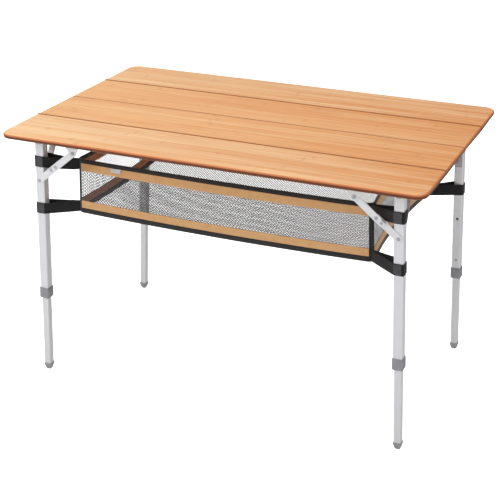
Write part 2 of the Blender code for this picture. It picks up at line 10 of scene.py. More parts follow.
import bmesh
import bpy
from mathutils import Matrix, Vector, geometry, noise


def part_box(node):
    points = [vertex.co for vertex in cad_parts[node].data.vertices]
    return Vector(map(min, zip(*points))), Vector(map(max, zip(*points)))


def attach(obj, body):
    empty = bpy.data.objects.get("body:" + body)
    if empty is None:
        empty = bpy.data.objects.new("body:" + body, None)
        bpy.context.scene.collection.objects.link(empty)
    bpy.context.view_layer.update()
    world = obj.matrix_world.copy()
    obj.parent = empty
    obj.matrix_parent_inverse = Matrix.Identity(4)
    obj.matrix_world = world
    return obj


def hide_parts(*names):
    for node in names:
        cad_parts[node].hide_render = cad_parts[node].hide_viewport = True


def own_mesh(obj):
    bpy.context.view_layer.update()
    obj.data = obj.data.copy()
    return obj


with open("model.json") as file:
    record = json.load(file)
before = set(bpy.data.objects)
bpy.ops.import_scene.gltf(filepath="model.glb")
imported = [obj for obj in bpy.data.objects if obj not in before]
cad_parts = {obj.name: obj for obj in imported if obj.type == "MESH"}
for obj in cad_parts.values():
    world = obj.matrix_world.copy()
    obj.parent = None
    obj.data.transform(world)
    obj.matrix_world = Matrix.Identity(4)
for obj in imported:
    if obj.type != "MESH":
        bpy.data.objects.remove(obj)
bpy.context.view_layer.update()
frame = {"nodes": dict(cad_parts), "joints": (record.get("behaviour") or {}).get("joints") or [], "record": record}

JOINTS = {joint["name"]: joint for joint in frame["joints"]}
BODY_OF = {}
for body_name, members in frame["record"]["behaviour"]["bodies"].items():
    for member in members:
        BODY_OF[member] = body_name
CORNERS = (("fl", -1, -1), ("fr", 1, -1), ("rl", -1, 1), ("rr", 1, 1))
TAU = 2 * math.pi


# ---------------------------------------------------------------- places read from the frame
def size_of(node):
    low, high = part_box(node)
    return high - low


PIVOT = Vector(JOINTS["leg_fold_rr"]["pos_m"])
BRACE_FOOT = Vector(JOINTS["lower_link_fold_rr"]["pos_m"])
BRACE_HEAD = Vector(JOINTS["upper_link_fold_rr"]["pos_m"])
SLIDE = Vector(JOINTS["leg_height_rr"]["axis"])
TRAVEL = JOINTS["leg_height_rr"]["range_m"][1]
SPLAY = math.atan2(-SLIDE.x, SLIDE.z)
LEG_FRAME = Matrix.Translation(PIVOT) @ Matrix.Rotation(-SPLAY, 4, "Y")
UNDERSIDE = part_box("board_front_outer")[0].z
OUTER_WIDTH = size_of("leg_outer_tube_rr").y
INNER_WIDTH = size_of("leg_inner_tube_rr").y
COLLAR_WIDTH = size_of("lock_collar_rr").y
FOOT_WIDTH = size_of("foot_rr").y
BUTTON_HOLE_Z = 0.256
MIDDLE_HOLE_Z = 0.3675


def along_leg(z):
    """Distance from the pivot, up the splayed leg, of the height z."""
    return (z - PIVOT.z) / math.cos(SPLAY)


def leg_x(z):
    """Where the middle of the leg is at the height z."""
    return PIVOT.x + (PIVOT.z - z) * math.tan(SPLAY)


def leg_span(node, width):
    """Lowest and highest place along the leg of a square CAD piece on it."""
    low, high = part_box(node)
    lean = width / 2 * math.sin(SPLAY)
    return along_leg(low.z + lean), along_leg(high.z - lean)


# ---------------------------------------------------------------- mesh helpers
SHARP_ANGLE = math.radians(40)
RIVET_STEPS = 24


def arc(centre, radius, start, end, steps):
    """Points on an arc, angles in degrees."""
    points = []
    for i in range(steps + 1):
        turn = math.radians(start + (end - start) * i / steps)
        points.append((centre[0] + radius * math.cos(turn), centre[1] + radius * math.sin(turn)))
    return points


def disc(centre, radius, steps=32):
    return arc(centre, radius, 0, 360, steps)[:-1]


def rounded_rectangle(width, depth, radius, steps=6, centre=(0, 0)):
    """Outline with steps points round each corner, from the middle of the +X side."""
    points = []
    for sx, sy, start in ((1, 1, 0), (-1, 1, 90), (-1, -1, 180), (1, -1, 270)):
        at = (centre[0] + sx * (width / 2 - radius), centre[1] + sy * (depth / 2 - radius))
        points += arc(at, radius, start, start + 90, steps)
    return points


def loft(rings, wrap=False, flat=False, v=None):
    """Skin over closed rings of points. Ends are capped unless wrap joins the last ring to the
    first. UVs are in metres: u from ring to ring and v round each ring, or as v gives it for the
    points of a ring, or plain x and y where flat is set."""
    bm = bmesh.new()
    layer = bm.loops.layers.uv.new("UVMap")
    made = [[bm.verts.new(point) for point in ring] for ring in rings]
    count = len(rings[0])
    order = list(range(len(rings))) + ([0] if wrap else [])
    u = [0.0]
    for a, b in zip(order, order[1:]):
        u.append(u[-1] + (Vector(rings[a][0]) - Vector(rings[b][0])).length)
    if v is None:
        v = [0.0]
        for j in range(count):
            v.append(v[-1] + (Vector(rings[0][j]) - Vector(rings[0][(j + 1) % count])).length)
    else:
        v = [*v, v[0]]
    for i, (a, b) in enumerate(zip(order, order[1:])):
        for j in range(count):
            k = (j + 1) % count
            face = bm.faces.new((made[a][j], made[a][k], made[b][k], made[b][j]))
            places = ((u[i], v[j]), (u[i], v[j + 1]), (u[i + 1], v[j + 1]), (u[i + 1], v[j]))
            for loop, place in zip(face.loops, places):
                loop[layer].uv = loop.vert.co.xy if flat else place
    if not wrap:
        for ring in (made[0], made[-1]):
            for loop in bm.faces.new(ring).loops:
                loop[layer].uv = loop.vert.co.xy
    return bm


def prism(outline, low, high, plane="XY"):
    """A flat outline pushed from low to high along the axis that the plane leaves out."""
    place = {
        "XY": lambda a, b, h: (a, b, h),
        "XZ": lambda a, b, h: (a, h, b),
        "YZ": lambda a, b, h: (h, a, b),
    }[plane]
    return loft([[place(a, b, h) for a, b in outline] for h in (low, high)])


def bevelled(bm, offset, segments=3, keep=None):
    """Rounds the sharp edges, or those of them that keep picks."""
    bmesh.ops.recalc_face_normals(bm, faces=bm.faces)
    sharp = [e for e in bm.edges if e.calc_face_angle(0) > SHARP_ANGLE]
    if keep:
        sharp = [e for e in sharp if keep(e)]
    bmesh.ops.bevel(bm, geom=sharp, offset=offset, segments=segments, profile=0.5, affect="EDGES")
    return bm


def dome(centre, radius, height, low):
    """Head of a rivet: a low dome along Y, with its flat side at low. A negative height turns it
    round."""
    rings = []
    for share, rise in ((1, 0), (1, 0.35), (0.93, 0.66), (0.75, 0.88), (0.45, 0.98), (0.12, 1)):
        rim = disc(centre, radius * share, RIVET_STEPS)
        rings.append([(x, low + height * rise, z) for x, z in rim])
    return loft(rings)


def merged(*parts):
    """Several meshes as one, which stay separate shells."""
    whole = parts[0]
    for part in parts[1:]:
        mesh = bpy.data.meshes.new("part")
        part.to_mesh(mesh)
        part.free()
        whole.from_mesh(mesh)
        bpy.data.meshes.remove(mesh)
    return whole


def to_mesh(bm, name):
    bmesh.ops.recalc_face_normals(bm, faces=bm.faces)
    mesh = bpy.data.meshes.new(name)
    bm.to_mesh(mesh)
    bm.free()
    return mesh


def cut(bm, *cutters):
    """Takes the cutters out of the mesh."""
    base = bpy.data.objects.new("base", to_mesh(bm, "base"))
    bpy.context.scene.collection.objects.link(base)
    others = []
    for cutter in cutters:
        other = bpy.data.objects.new("cutter", to_mesh(cutter, "cutter"))
        bpy.context.scene.collection.objects.link(other)
        step = base.modifiers.new("cut", "BOOLEAN")
        step.operation = "DIFFERENCE"
        step.solver = "EXACT"
        step.object = other
        others.append(other)
    bpy.context.view_layer.update()
    graph = bpy.context.evaluated_depsgraph_get()
    result = bpy.data.meshes.new_from_object(base.evaluated_get(graph))
    made = bmesh.new()
    made.from_mesh(result)
    bpy.data.meshes.remove(result)
    for used in [base, *others]:
        mesh = used.data
        bpy.data.objects.remove(used)
        bpy.data.meshes.remove(mesh)
    return made


# ---------------------------------------------------------------- putting pieces in the scene
def add_piece(mesh, name, paint, body, nodes=(), matrix=None, smooth_angle=35):
    """A visible piece that rides on a body, takes a material slot, and stands for CAD nodes."""
    piece = bpy.data.objects.new(name, mesh)
    bpy.context.scene.collection.objects.link(piece)
    mesh.materials.clear()
    mesh.materials.append(paint)
    mesh.shade_smooth()
    mesh.set_sharp_from_angle(angle=math.radians(smooth_angle))
    if matrix is not None:
        piece.matrix_world = matrix
    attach(piece, body)
    if nodes:
        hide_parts(*nodes)
    return piece


def add_at_corners(bm, name, paint, node=None, body=None, place=None, smooth_angle=35):
    """Mirrors a piece made in the frame `place` at the +X +Y corner to all four corners. It rides
    on the body of the CAD node it stands for, or on `body`, where {} takes the corner's label."""
    place = place or Matrix.Identity(4)
    pattern = to_mesh(bm, name)
    made = {}
    for label, sx, sy in CORNERS:
        mirror = Matrix.Diagonal((sx, sy, 1, 1))
        mesh = pattern.copy()
        mesh.transform(mirror)
        if sx * sy < 0:
            mesh.flip_normals()
        nodes = [f"{node}_{label}"] if node else []
        rides_on = BODY_OF[nodes[0]] if node else body.format(label)
        matrix = mirror @ place @ mirror
        made[label] = add_piece(
            mesh, f"{name}_{label}", paint, rides_on, nodes, matrix, smooth_angle
        )
    bpy.data.meshes.remove(pattern)
    return made


# ---------------------------------------------------------------- materials
class Shader:
    """A material's node tree, with short calls for the nodes that it is made of."""

    def __init__(self, name, roughness=0.5, metallic=0.0, specular=0.5):
        self.material = bpy.data.materials.new(name)
        self.material.use_nodes = True
        self.tree = self.material.node_tree
        self.principled = self.tree.nodes["Principled BSDF"]
        self.set("Roughness", roughness)
        self.set("Metallic", metallic)
        self.set("Specular IOR Level", specular)

    def set(self, socket, value):
        self.link(value, self.principled.inputs[socket])

    def link(self, value, socket):
        if isinstance(value, bpy.types.NodeSocket):
            self.tree.links.new(value, socket)
        else:
            socket.default_value = value

    def node(self, kind, settings=None, **inputs):
        made = self.tree.nodes.new("ShaderNode" + kind)
        for key, value in (settings or {}).items():
            setattr(made, key, value)
        for key, value in inputs.items():
            self.link(value, made.inputs[key.replace("_", " ")])
        return made

    def math(self, operation, *values):
        made = self.tree.nodes.new("ShaderNodeMath")
        made.operation = operation
        for value, socket in zip(values, made.inputs):
            self.link(value, socket)
        return made.outputs[0]

    def coords(self, kind="Object", scale=(1, 1, 1), offset=(0, 0, 0)):
        start = self.node("TexCoord").outputs[kind]
        scaled = self.node("VectorMath", {"operation": "MULTIPLY_ADD"})
        self.link(start, scaled.inputs[0])
        self.link(scale, scaled.inputs[1])
        self.link(offset, scaled.inputs[2])
        return scaled.outputs[0]

    def split(self, vector):
        return self.node("SeparateXYZ", Vector=vector).outputs

    def noise(self, vector, detail=2.0, roughness=0.5):
        made = self.node("TexNoise", Vector=vector, Scale=1.0, Detail=detail, Roughness=roughness)
        return made.outputs[0]

    def random(self, value):
        """A fixed random number for each value."""
        return self.node("TexWhiteNoise", {"noise_dimensions": "1D"}, W=value).outputs["Value"]

    def ramp(self, value, low, high, to_low=0.0, to_high=1.0):
        """Smooth step from to_low at low to to_high at high."""
        made = self.node("MapRange", {"interpolation_type": "SMOOTHSTEP"})
        for socket, number in zip(made.inputs, (value, low, high, to_low, to_high)):
            self.link(number, socket)
        return made.outputs[0]

    def mix(self, share, first, second, blend="MIX"):
        made = self.tree.nodes.new("ShaderNodeMix")
        made.data_type = "RGBA"
        made.blend_type = blend
        for socket, value in ((0, share), (6, first), (7, second)):
            self.link(value, made.inputs[socket])
        return made.outputs[2]

    def bump(self, height, distance, strength):
        made = self.node("Bump", Height=height, Distance=distance, Strength=strength)
        self.set("Normal", made.outputs[0])

    def wave(self, value, period):
        """0 to 1 and back along value, once each period."""
        turned = self.math("SINE", self.math("MULTIPLY", value, TAU / period))
        return self.math("MULTIPLY_ADD", turned, 0.5, 0.5)


def srgb(red, green, blue):
    """A screen colour of 0 to 255 as the linear colour that shaders use."""
    linear = []
    for value in (red, green, blue):
        share = value / 255
        linear.append(share / 12.92 if share <= 0.04045 else ((share + 0.055) / 1.055) ** 2.4)
    return (*linear, 1.0)


EDGE_PALE = srgb(198, 112, 56)
# dark brown painted shade for the lower half of the board edges, also used for dark fibre flecks there
EDGE_PAINTED_SHADE_AND_FIBRE = srgb(98, 50, 24)
RING_COLOUR = srgb(176, 112, 64)
GLUE_COLOUR = srgb(160, 98, 52)
# painted shade for the groove of the middle seam
SEAM_PAINTED_SHADE = srgb(122, 70, 38)
BAMBOO_STRIP = 0.0198
BAMBOO_JOINT = 0.43
# painted sheen: how fast along X the top turns from pale towards -X to warm towards +X
PAINTED_SHEEN_SLOPE_X = 0.75
# heights above the underside between which the edge turns from painted shade to pale orange
PAINTED_SHADE_TO = 0.0062
PALE_FROM = 0.0090


def bamboo(name, seed, pale, warm):
    """Edge-glued bamboo strips along X: fibres, faint rings of the culm, a painted shade along the
    middle seam, a painted sheen that leaves the top paler towards -X and warmer towards +X, and an
    orange edge whose lower half is painted dark as shade."""
    s = Shader(name, specular=0.3)
    x, y, z = s.split(s.coords())
    row = s.math("DIVIDE", s.math("ADD", y, seed), BAMBOO_STRIP)
    strip_tone = s.random(s.math("FLOOR", row))
    fine = s.noise(s.coords(scale=(6, 800, 800), offset=(seed, 0, 0)), detail=3)
    medium = s.noise(s.coords(scale=(2.4, 170, 170), offset=(seed, 3, 0)), detail=4, roughness=0.65)
    broad = s.noise(s.coords(scale=(1.2, 11, 11), offset=(seed, 0, 5)), detail=2)
    shift = s.math("MULTIPLY", strip_tone, 7.3)
    culm = s.math("FRACT", s.math("ADD", s.math("DIVIDE", x, BAMBOO_JOINT), shift))
    wobble = s.math("MULTIPLY_ADD", medium, 0.04, -0.02)
    from_ring = s.math("ABSOLUTE", s.math("ADD", s.math("SUBTRACT", culm, 0.5), wobble))
    ring = s.ramp(from_ring, 0.0, 0.02, 1.0, 0.0)
    glue = s.ramp(s.math("ABSOLUTE", s.math("SUBTRACT", s.math("FRACT", row), 0.5)), 0.475, 0.5)

    tone = s.math("MULTIPLY_ADD", strip_tone, 0.30, s.math("MULTIPLY_ADD", medium, 3.0, -1.38))
    # painted sheen: paler towards -X, warmer towards +X, mixed with the random strip tone
    wood = s.mix(s.math("MULTIPLY_ADD", x, PAINTED_SHEEN_SLOPE_X, tone), pale, warm)
    wood = s.mix(s.ramp(broad, 0.35, 0.75, 0.0, 0.45), wood, warm)
    fibre = s.ramp(fine, 0.3, 0.7, 0.84, 1.05)
    grey = s.node("CombineXYZ", X=fibre, Y=fibre, Z=fibre).outputs[0]
    wood = s.mix(1.0, wood, grey, "MULTIPLY")
    ring_share = s.math("MULTIPLY", ring, s.ramp(medium, 0.35, 0.65, 0.05, 0.34))
    wood = s.mix(ring_share, wood, RING_COLOUR)
    wood = s.mix(s.math("MULTIPLY", glue, 0.22), wood, GLUE_COLOUR)
    # painted shade: the boards darken within a few millimetres of the middle seam
    wood = s.mix(s.ramp(s.math("ABSOLUTE", y), 0.0012, 0.0026, 0.9, 0.0), wood, SEAM_PAINTED_SHADE)

    # side faces take the edge colour: painted shade on the lower half, orange above, with dark fibre flecks
    edge = s.mix(s.ramp(z, UNDERSIDE + PAINTED_SHADE_TO, UNDERSIDE + PALE_FROM), EDGE_PAINTED_SHADE_AND_FIBRE, EDGE_PALE)
    edge = s.mix(s.ramp(fine, 0.35, 0.65, 0.0, 0.35), edge, EDGE_PAINTED_SHADE_AND_FIBRE)
    facing = s.split(s.node("TexCoord").outputs["Normal"])[2]
    wood = s.mix(s.ramp(s.math("ABSOLUTE", facing), 0.55, 0.985, 1.0, 0.0), wood, edge)
    s.set("Base Color", wood)
    s.set("Roughness", s.ramp(medium, 0.2, 0.8, 0.44, 0.56))
    s.set("Coat Weight", 0.08)
    s.set("Coat Roughness", 0.35)
    relief = s.math("MULTIPLY_ADD", fine, 0.5, medium)
    s.bump(s.math("SUBTRACT", relief, s.math("MULTIPLY", glue, 0.8)), 0.0002, 0.5)
    return s.material


def brushed_metal(name, colour, roughness, along, metallic):
    """Satin metal with fine draw lines along one of the piece's own axes."""
    s = Shader(name, metallic=metallic)
    lines = [1400.0, 1400.0, 1400.0]
    lines["XYZ".index(along)] = 7.0
    fine = s.noise(s.coords(scale=lines), detail=2)
    cloud = s.noise(s.coords(scale=(22, 22, 22)), detail=3)
    dark = tuple(0.86 * c for c in colour[:3]) + (1.0,)
    tint = s.mix(s.ramp(fine, 0.25, 0.75), dark, colour)
    s.set("Base Color", s.mix(s.ramp(cloud, 0.35, 0.8, 0.0, 0.35), tint, dark))
    rough = s.ramp(cloud, 0.3, 0.8, roughness - 0.08, roughness + 0.04)
    s.set("Roughness", s.math("MULTIPLY_ADD", fine, 0.16, rough))
    s.bump(fine, 0.00004, 0.6)
    return s.material


def plastic(name, colour, roughness, worn):
    """Moulded plastic with a fine spark texture and paler worn patches."""
    s = Shader(name, specular=0.4)
    grain = s.noise(s.coords(scale=(1500, 1500, 1500)), detail=2)
    cloud = s.noise(s.coords(scale=(45, 45, 45)), detail=4)
    s.set("Base Color", s.mix(s.ramp(cloud, 0.4, 0.75, 0.0, 0.6), colour, worn))
    s.set("Roughness", s.ramp(grain, 0.3, 0.7, roughness - 0.06, roughness + 0.1))
    s.bump(grain, 0.00012, 0.5)
    return s.material


def woven(name, colour, dark, pitch, inside_painted_shade=None, ribs=False, sheen=0.3):
    """Woven tape, plain or with slanting ribs. The weave follows the piece's UVs, in metres.
    Faces that look towards the middle of the table take a painted shade colour where one is given."""
    s = Shader(name, roughness=0.82, specular=0.2)
    u, v, _ = s.split(s.coords("UV"))
    if ribs:
        zigzag = s.math("ABSOLUTE", s.math("SUBTRACT", s.wave(v, pitch * 9), 0.5))
        slant = s.math("MULTIPLY", zigzag, pitch * 3)
        warp = s.wave(s.math("ADD", u, slant), pitch)
        weave = s.math("MULTIPLY", warp, s.math("MULTIPLY_ADD", s.wave(v, pitch * 1.4), 0.4, 0.6))
    else:
        weave = s.math("MAXIMUM", s.math("MULTIPLY", s.wave(u, pitch), s.wave(v, pitch)), 0.15)
    cloud = s.noise(s.coords(scale=(60, 60, 60)), detail=4, roughness=0.65)
    paler = s.math("MULTIPLY_ADD", weave, 0.7, s.math("MULTIPLY_ADD", cloud, 0.7, -0.2))
    tint = s.mix(paler, dark, colour)
    # painted shade: faces turned towards the middle of the table darken to the given colour
    if inside_painted_shade:
        outward = s.node("VectorMath", {"operation": "DOT_PRODUCT"})
        s.link(s.node("TexCoord").outputs["Normal"], outward.inputs[0])
        s.link(s.coords(scale=(1, 1, 0)), outward.inputs[1])
        shade = s.mix(s.math("MULTIPLY", weave, 0.3), inside_painted_shade, colour)
        tint = s.mix(s.ramp(outward.outputs["Value"], -0.03, 0.03), shade, tint)
    s.set("Base Color", tint)
    s.set("Sheen Weight", sheen)
    s.set("Sheen Roughness", 0.5)
    s.bump(weave, pitch * 0.25, 0.8)
    return s.material


MESH_HOLE_PITCH = 0.0080
MESH_ROW_PITCH = 0.0038
MESH_THREAD_BLUR = 0.03


def mesh_fabric(name, colour, shade, open_share):
    """Knitted mesh with staggered rows of oval holes, whose radius is open_share of their pitch.
    The pattern follows UVs in metres."""
    s = Shader(name, roughness=0.7, specular=0.3)
    u, v, _ = s.split(s.coords("UV", scale=(1 / MESH_HOLE_PITCH, 1 / MESH_ROW_PITCH, 1)))
    shifted = s.math("MULTIPLY_ADD", s.math("MODULO", s.math("FLOOR", v), 2.0), 0.5, u)
    du = s.math("SUBTRACT", s.math("FRACT", s.math("ADD", shifted, 64.0)), 0.5)
    dv = s.math("SUBTRACT", s.math("FRACT", v), 0.5)
    far = s.math("SQRT", s.math("ADD", s.math("MULTIPLY", du, du), s.math("MULTIPLY", dv, dv)))
    thread = s.ramp(far, open_share - MESH_THREAD_BLUR, open_share + MESH_THREAD_BLUR)
    cloud = s.noise(s.coords(scale=(18, 18, 18)), detail=4)
    s.set("Base Color", s.mix(s.ramp(cloud, 0.35, 0.75), colour, shade))
    s.set("Alpha", thread)
    return s.material


# ---------------------------------------------------------------- bamboo boards
BOARD_CORNER = 0.028
CORNER_STEPS = 18
TOP_ROUNDING = 0.005
LOW_ROUNDING = 0.004
SEAM_ROUNDING = 0.0010
REBATE_GAP = 0.0003
LEVEL = 1e-6


def board_outline(low, high, outer_side):
    """Plan of a board, with the corners on its outer_side (-1 front, 1 rear, 0 neither) rounded."""
    if outer_side == 0:
        return [(low.x, low.y), (high.x, low.y), (high.x, high.y), (low.x, high.y)]
    inner_y, outer_y = (high.y, low.y) if outer_side < 0 else (low.y, high.y)
    centre_y = outer_y - outer_side * BOARD_CORNER
    quarter = 90 * outer_side
    right = arc((high.x - BOARD_CORNER, centre_y), BOARD_CORNER, 0, quarter, CORNER_STEPS)
    left = arc((low.x + BOARD_CORNER, centre_y), BOARD_CORNER, quarter, 2 * quarter, CORNER_STEPS)
    return [(high.x, inner_y), *right, *left, (low.x, inner_y)]


def add_board(node, outer_side, paint, rebate_side=0):
    """A board with rounded edges, finely where it meets another one. rebate_side is -1 or 1 where
    a leaf of the middle hinge lies in a rebate under it."""
    low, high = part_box(node)
    bm = prism(board_outline(low, high, outer_side), low.z, high.z)
    if rebate_side:
        leaf_low, leaf_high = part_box(f"hinge_middle_{'rear' if rebate_side > 0 else 'front'}_leaf")
        far = (leaf_high.y if rebate_side > 0 else leaf_low.y) + rebate_side * REBATE_GAP
        front, rear = sorted((0.0, far))
        outline = [(-1, front), (1, front), (1, rear), (-1, rear)]
        bm = cut(bm, prism(outline, low.z - 0.01, leaf_high.z + REBATE_GAP))
    middle = abs(high.y + low.y) / 2
    seams = {round(y, 4) for y in (low.y, high.y) if outer_side == 0 or abs(y) < middle}

    def edges_at(z, seam):
        """Picks the level edges at the height z that run along a seam, or all the others."""

        def keep(edge):
            level = all(abs(v.co.z - z) < LEVEL for v in edge.verts)
            ends = {round(v.co.y, 4) for v in edge.verts}
            return level and seam == (len(ends) == 1 and bool(ends & seams))

        return keep

    bevelled(bm, TOP_ROUNDING, 6, keep=edges_at(high.z, False))
    bevelled(bm, SEAM_ROUNDING, 4, keep=edges_at(high.z, True))
    bevelled(bm, SEAM_ROUNDING, 3, keep=edges_at(low.z, True))
    bevelled(bm, LOW_ROUNDING, 6, keep=edges_at(low.z, False))
    name = node.replace("board", "bamboo")
    add_piece(to_mesh(bm, name), name, paint, BODY_OF[node], [node])


def add_boards():
    pale, warm = srgb(245, 203, 154), srgb(222, 142, 72)
    front_inner = bamboo("bamboo_b", 2.1, srgb(241, 186, 130), warm)
    rear_inner = bamboo("bamboo_c", 4.7, srgb(243, 188, 132), warm)
    rear_outer = bamboo("bamboo_d", 7.9, srgb(246, 202, 150), srgb(221, 138, 66))
    add_board("board_front_outer", -1, bamboo("bamboo_a", 0.3, pale, warm))
    add_board("board_front_inner", 0, front_inner, rebate_side=-1)
    add_board("board_rear_inner", 0, rear_inner, rebate_side=1)
    add_board("board_rear_outer", 1, rear_outer)


# ---------------------------------------------------------------- legs
OUTER_WALL, OUTER_CORNER = 0.002, 0.0028
INNER_WALL, INNER_CORNER = 0.0012, 0.002
TUBE_EDGE = 0.0003
TUBE_FIT = 0.0006
HEIGHT_HOLE = 0.0033
BRACE_HOLE = 0.0028


def square_tube(width, wall, corner, low, high):
    """Open square tube with rounded corners and a narrow chamfer at each end."""
    edge = TUBE_EDGE
    rings = []
    inner = width - 2 * wall
    for size, radius, z in (
        (width, corner, low + edge),
        (width, corner, high - edge),
        (width - 2 * edge, corner - edge, high),
        (inner + 2 * edge, corner - wall + edge, high),
        (inner, corner - wall, high - edge),
        (inner, corner - wall, low + edge),
        (inner + 2 * edge, corner - wall + edge, low),
        (width - 2 * edge, corner - edge, low),
    ):
        rings.append([(x, y, z) for x, y in rounded_rectangle(size, size, max(radius, 0.0004))])
    return loft(rings, wrap=True)


def add_legs(aluminium, collar_paint, foot_paint):
    """Tubes, drilled through for the pivot and the brace, and on one side for the snap button."""
    low, high = leg_span("leg_outer_tube_rr", OUTER_WIDTH)
    holes = [
        prism(disc((0, 0), HEIGHT_HOLE), -OUTER_WIDTH, OUTER_WIDTH, "XZ"),
        prism(disc((0, along_leg(BRACE_FOOT.z)), BRACE_HOLE), -OUTER_WIDTH, OUTER_WIDTH, "XZ"),
    ]
    button = along_leg(BUTTON_HOLE_Z)
    for z in (button, along_leg(MIDDLE_HOLE_Z), button + TRAVEL):
        holes.append(prism(disc((0, z), HEIGHT_HOLE), -OUTER_WIDTH, 0, "XZ"))
    tube = cut(square_tube(OUTER_WIDTH, OUTER_WALL, OUTER_CORNER, low, high), *holes)
    add_at_corners(tube, "outer_tube", aluminium, "leg_outer_tube", place=LEG_FRAME)

    low, high = leg_span("leg_inner_tube_rr", INNER_WIDTH)
    hole = prism(disc((0, button), HEIGHT_HOLE), -INNER_WIDTH, 0, "XZ")
    tube = cut(square_tube(INNER_WIDTH, INNER_WALL, INNER_CORNER, low, high), hole)
    add_at_corners(tube, "inner_tube", aluminium, "leg_inner_tube", place=LEG_FRAME)

    ring = collar()
    add_at_corners(ring, "collar", collar_paint, "lock_collar", place=LEG_FRAME)
    add_at_corners(foot(), "foot_cap", foot_paint, "foot", place=LEG_FRAME)


BUTTON_RADIUS = 0.003
SPRING_STRIP = 0.0006
SPRING_DROP = 0.030
SPRING_ARM = 0.006
SPRING_HALF_WIDTH = 0.003


def add_buttons(metal):
    """Snap buttons. The spring is a V of thin strip that stays in the inner tube."""
    low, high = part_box("snap_button_rr")
    near, far = low.y - PIVOT.y, high.y - PIVOT.y
    z = along_leg(BUTTON_HOLE_Z)
    strip, arm = SPRING_STRIP, SPRING_ARM
    cap = bevelled(prism(disc((0, z), BUTTON_RADIUS), near, strip / 2 - far, "XZ"), 0.0006, 4)
    add_at_corners(cap, "snap_button_cap", metal, "snap_button", place=LEG_FRAME)
    outline = [
        (-far, z + arm),
        (-far, z - arm),
        (-strip, z - SPRING_DROP),
        (strip, z - SPRING_DROP),
        (far, z + arm),
        (far - strip, z + arm),
        (0, z - SPRING_DROP + 4 * strip),
        (strip - far, z - arm),
        (strip - far, z + arm),
    ]
    spring = prism(outline, -SPRING_HALF_WIDTH, SPRING_HALF_WIDTH, "YZ")
    springs = add_at_corners(
        spring, "snap_button_spring", metal, body="lower_leg_{}", place=LEG_FRAME
    )
    for label, sx, sy in CORNERS:
        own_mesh(springs[label])


COLLAR_CORNER = 0.0045
COLLAR_LIP = 0.003
COLLAR_PROFILE = (
    (0, 0.0012), (0.03, 0.0004), (0.06, 0), (0.80, 0), (0.815, 0.0004),
    (0.835, 0.0004), (0.85, 0), (0.94, 0), (0.97, 0.0004), (1, 0.0012),
)
PAD_WIDTH, PAD_HEIGHT, PAD_CORNER = 0.010, 0.009, 0.0015
PAD_SUNK, PAD_PROUD = 0.0005, 0.0006


def collar():
    """Moulded collar: chamfered rims, a line round it near the top, and a small pad on each side.
    Its profile is pairs of a share of its height and how far it is drawn in there."""
    low, high = leg_span("lock_collar_rr", COLLAR_WIDTH)
    tall = high - low
    rings = []
    for share, shrink in COLLAR_PROFILE:
        width = COLLAR_WIDTH - 2 * shrink
        outline = rounded_rectangle(width, width, COLLAR_CORNER - shrink)
        rings.append([(x, y, low + tall * share) for x, y in outline])
    bore, sleeve = OUTER_WIDTH + TUBE_FIT, INNER_WIDTH + TUBE_FIT
    socket = prism(rounded_rectangle(bore, bore, OUTER_CORNER), low + COLLAR_LIP, high + 0.01)
    through = prism(rounded_rectangle(sleeve, sleeve, INNER_CORNER), low - 0.01, high)
    body = cut(loft(rings), socket, through)
    outline = rounded_rectangle(PAD_WIDTH, PAD_HEIGHT, PAD_CORNER, centre=(0, low + tall * 0.42))
    pads = []
    for turn in (0, 90):
        for side in (-1, 1):
            face = COLLAR_WIDTH / 2 * side
            ends = sorted((face - side * PAD_SUNK, face + side * PAD_PROUD))
            pad = bevelled(prism(outline, *ends, "XZ"), 0.0003, 2)
            around = Matrix.Rotation(math.radians(turn), 3, "Z")
            bmesh.ops.rotate(pad, verts=pad.verts, matrix=around)
            pads.append(pad)
    return merged(body, *pads)


FOOT_CORNER = 0.0035
FOOT_RIM = 0.0006
TREAD_LEVELS = 16
GROOVE_LEVELS = (5, 10)
GROOVE_DEPTH = 0.0005


def foot():
    """End cap: a square socket with a rolled rim, and a round tread below it with two grooves."""
    radius = FOOT_WIDTH / 2
    centre_z = along_leg(radius / math.cos(SPLAY))
    top = leg_span("foot_rr", FOOT_WIDTH)[1]
    rings = []
    for z, shrink in ((top, FOOT_RIM), (top - FOOT_RIM, 0), (centre_z + 0.0035, 0)):
        width = FOOT_WIDTH - 2 * shrink
        rings.append([(x, y, z) for x, y in rounded_rectangle(width, width, FOOT_CORNER - shrink)])
    headings = [math.atan2(y, x) for x, y in rounded_rectangle(FOOT_WIDTH, FOOT_WIDTH, FOOT_CORNER)]
    for i in range(TREAD_LEVELS):
        turn = math.pi / 2 * i / TREAD_LEVELS
        out = radius - (GROOVE_DEPTH if i in GROOVE_LEVELS else 0.0)
        flat, depth = out * math.cos(turn), centre_z - out * math.sin(turn)
        rings.append([(flat * math.cos(h), flat * math.sin(h), depth) for h in headings])
    width = INNER_WIDTH + TUBE_FIT
    low = leg_span("leg_inner_tube_rr", INNER_WIDTH)[0] - 0.0003
    return cut(loft(rings), prism(rounded_rectangle(width, width, INNER_CORNER), low, top + 0.01))


# ---------------------------------------------------------------- braces
LINK_HALF = 0.008
LINK_THICKNESS = 0.002
LINK_GAP = 0.0004
RIVET_SHANK = 0.0025
RIVET_HEAD = 0.0045
LOCK_RIVET = 0.0034
LOCK_OFFSET = 0.0155
TAB_HALF_LENGTH, TAB_HALF_HEIGHT, TAB_STANDS = 0.006, 0.001, 0.005


def bar_frame(start, end, y):
    """Frame with its X axis from start to end of a brace bar, and its inner face at y."""
    heading = math.atan2(end.z - start.z, end.x - start.x)
    return Matrix.Translation((start.x, y, start.z)) @ Matrix.Rotation(-heading, 4, "Y")


